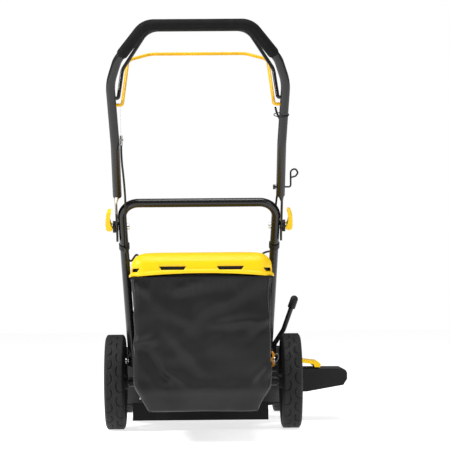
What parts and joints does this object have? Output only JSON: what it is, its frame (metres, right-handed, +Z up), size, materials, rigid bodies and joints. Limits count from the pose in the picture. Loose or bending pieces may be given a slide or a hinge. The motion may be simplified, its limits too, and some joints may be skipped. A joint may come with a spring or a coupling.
{
  "type": "lawn_mower",
  "caption": "Walk-behind petrol rotary mower with yellow-lidded rear grass bag, side chute and folding handle",
  "frame": {"origin": "on the ground, on the centre plane, straight below the rear axle", "axes": "+Y is the mowing direction, +X is the mower's right, +Z is up"},
  "size_m": [0.673, 1.4534, 1.0126],
  "materials": {
    "black_paint": "gloss",
    "deck_paint": "satin",
    "yellow_paint": "gloss",
    "steel": "satin",
    "cast_alloy": "satin",
    "chrome_wire": "polished",
    "tyre_rubber": "matte",
    "flap_rubber": "matte",
    "foam": "matte",
    "black_plastic": "satin",
    "yellow_plastic": "gloss",
    "bag_cloth": "matte"
  },
  "bodies": {
    "chassis": {"deck_shell": "deck_paint", "discharge_tunnel": "black_plastic", "rear_skirt": "deck_paint", "handle_brackets": "deck_paint", "hinge_rods": "steel", "handle_bolts": "steel", "engine_block": "cast_alloy", "blower_shroud": "black_plastic", "recoil_housing": "black_plastic", "fuel_tank": "black_plastic", "carburettor": "cast_alloy", "air_filter_cover": "black_plastic", "muffler": "steel", "spark_plug": "black_plastic", "wash_port": "yellow_plastic"},
    "rotor": {"crankshaft": "steel", "flywheel": "cast_alloy", "blade_hub": "steel", "blade": "steel", "blade_bolt": "steel"},
    "rear_crank": {"rear_axle": "steel", "gearbox": "black_plastic", "height_lever": "black_paint", "lever_knob": "black_plastic"},
    "front_crank": {"front_axle": "steel"},
    "rear_left_roller": {"rear_left_tyre": "tyre_rubber", "rear_left_wheel": "black_plastic"},
    "rear_right_roller": {"rear_right_tyre": "tyre_rubber", "rear_right_wheel": "black_plastic"},
    "front_left_roller": {"front_left_tyre": "tyre_rubber", "front_left_wheel": "black_plastic"},
    "front_right_roller": {"front_right_tyre": "tyre_rubber", "front_right_wheel": "black_plastic"},
    "lower_frame": {"lower_handle": "black_paint", "cable_clips": "black_plastic", "drive_cable_lower": "black_plastic", "stop_cable_lower": "black_plastic"},
    "upper_frame": {"upper_handle": "black_paint", "grip_foam": "foam", "rope_guide": "black_paint", "cable_bracket": "steel", "drive_wire": "chrome_wire", "clamp_bolts": "steel", "clamp_bosses": "black_plastic", "drive_cable_upper": "black_plastic", "stop_cable_upper": "black_plastic"},
    "stop_bail_body": {"stop_bail": "black_paint"},
    "drive_bail_body": {"drive_bail": "yellow_paint"},
    "cam_left": {"cam_lever_left": "yellow_plastic"},
    "cam_right": {"cam_lever_right": "yellow_plastic"},
    "bag": {"bag_lid": "yellow_plastic", "bag_fabric": "bag_cloth", "bag_frame": "black_plastic"},
    "rear_door_body": {"rear_door": "black_plastic"},
    "flap": {"trailing_flap": "flap_rubber"},
    "side_door_body": {"side_door": "yellow_plastic"},
    "chute": {"side_chute": "black_plastic"},
    "starter": {"starter_grip": "black_plastic"},
    "fuel_cap_body": {"fuel_cap": "black_plastic"},
    "dipstick_body": {"dipstick": "yellow_plastic"}
  },
  "joints": [
    {"name": "blade_spin", "type": "hinge", "parent": "chassis", "child": "rotor", "pos_m": [0, 0.345, 0], "axis": [0, 0, 1], "continuous": true},
    {"name": "height_adjust", "type": "hinge", "parent": "chassis", "child": "rear_crank", "pos_m": [0, 0.075, 0.16], "axis": [1, 0, 0], "range_deg": [-12, 12]},
    {"name": "front_height", "type": "hinge", "parent": "chassis", "child": "front_crank", "pos_m": [0, 0.625, 0.13], "axis": [1, 0, 0], "range_deg": [-12, 12]},
    {"name": "rear_left_roll", "type": "hinge", "parent": "rear_crank", "child": "rear_left_roller", "pos_m": [-0.24, 0, 0.127], "axis": [1, 0, 0], "continuous": true},
    {"name": "front_left_roll", "type": "hinge", "parent": "front_crank", "child": "front_left_roller", "pos_m": [-0.24, 0.7, 0.1], "axis": [1, 0, 0], "continuous": true},
    {"name": "rear_right_roll", "type": "hinge", "parent": "rear_crank", "child": "rear_right_roller", "pos_m": [0.24, 0, 0.127], "axis": [1, 0, 0], "continuous": true},
    {"name": "front_right_roll", "type": "hinge", "parent": "front_crank", "child": "front_right_roller", "pos_m": [0.24, 0.7, 0.1], "axis": [1, 0, 0], "continuous": true},
    {"name": "lower_handle_fold", "type": "hinge", "parent": "chassis", "child": "lower_frame", "pos_m": [0, -0.04, 0.185], "axis": [1, 0, 0], "range_deg": [-90, 0], "deforming": ["drive_cable_lower", "stop_cable_lower"]},
    {"name": "upper_handle_fold", "type": "hinge", "parent": "lower_frame", "child": "upper_frame", "pos_m": [0, -0.332, 0.533], "axis": [-1, 0, 0], "range_deg": [0, 110], "deforming": ["drive_cable_upper", "stop_cable_upper"]},
    {"name": "stop_bail_squeeze", "type": "hinge", "parent": "upper_frame", "child": "stop_bail_body", "pos_m": [0, -0.55244, 0.83489], "axis": [1, 0, 0], "range_deg": [0, 38], "stiffness_Nm_per_rad": 1.2, "springref_deg": -28.65},
    {"name": "drive_bail_squeeze", "type": "hinge", "parent": "upper_frame", "child": "drive_bail_body", "pos_m": [0, -0.544, 0.819], "axis": [1, 0, 0], "range_deg": [0, 19], "stiffness_Nm_per_rad": 1.2, "springref_deg": -28.65, "deforming": ["drive_wire"]},
    {"name": "left_cam", "type": "hinge", "parent": "upper_frame", "child": "cam_left", "pos_m": [-0.226, -0.332, 0.533], "axis": [0, -0.7659, -0.6429], "range_deg": [0, 115]},
    {"name": "right_cam", "type": "hinge", "parent": "upper_frame", "child": "cam_right", "pos_m": [0.226, -0.332, 0.533], "axis": [0, 0.7659, 0.6429], "range_deg": [0, 115]},
    {"name": "bag_pull", "type": "slide", "parent": "chassis", "child": "bag", "axis": [0, -0.9816, 0.1909], "range_m": [0, 0.6]},
    {"name": "rear_door_lift", "type": "hinge", "parent": "chassis", "child": "rear_door_body", "pos_m": [0, -0.058, 0.413], "axis": [-1, 0, 0], "range_deg": [0, 70], "stiffness_Nm_per_rad": 0.3, "springref_deg": -68.75},
    {"name": "flap_swing", "type": "hinge", "parent": "chassis", "child": "flap", "pos_m": [0, -0.066, 0.086], "axis": [1, 0, 0], "range_deg": [-50, 45]},
    {"name": "side_door_lift", "type": "hinge", "parent": "chassis", "child": "side_door_body", "pos_m": [0.258, 0.335, 0.172], "axis": [0, -1, 0], "range_deg": [0, 85], "stiffness_Nm_per_rad": 0.25, "springref_deg": -34.38},
    {"name": "chute_pull", "type": "slide", "parent": "chassis", "child": "chute", "axis": [1, 0, 0], "range_m": [0, 0.2]},
    {"name": "starter_pull", "type": "slide", "parent": "chassis", "child": "starter", "axis": [0, -0.8832, 0.4691], "range_m": [0, 0.6], "stiffness_N_per_m": 20, "springref_m": -0.15},
    {"name": "fuel_cap_lift", "type": "slide", "parent": "chassis", "child": "fuel_cap_body", "axis": [0, 0, 1], "range_m": [0, 0.06]},
    {"name": "dipstick_pull", "type": "slide", "parent": "chassis", "child": "dipstick_body", "axis": [0.3299, -0.5296, 0.7814], "range_m": [0, 0.09]}
  ],
  "couplings": [
    {"joint": "front_height", "follows": "height_adjust", "ratio": -1}
  ]
}
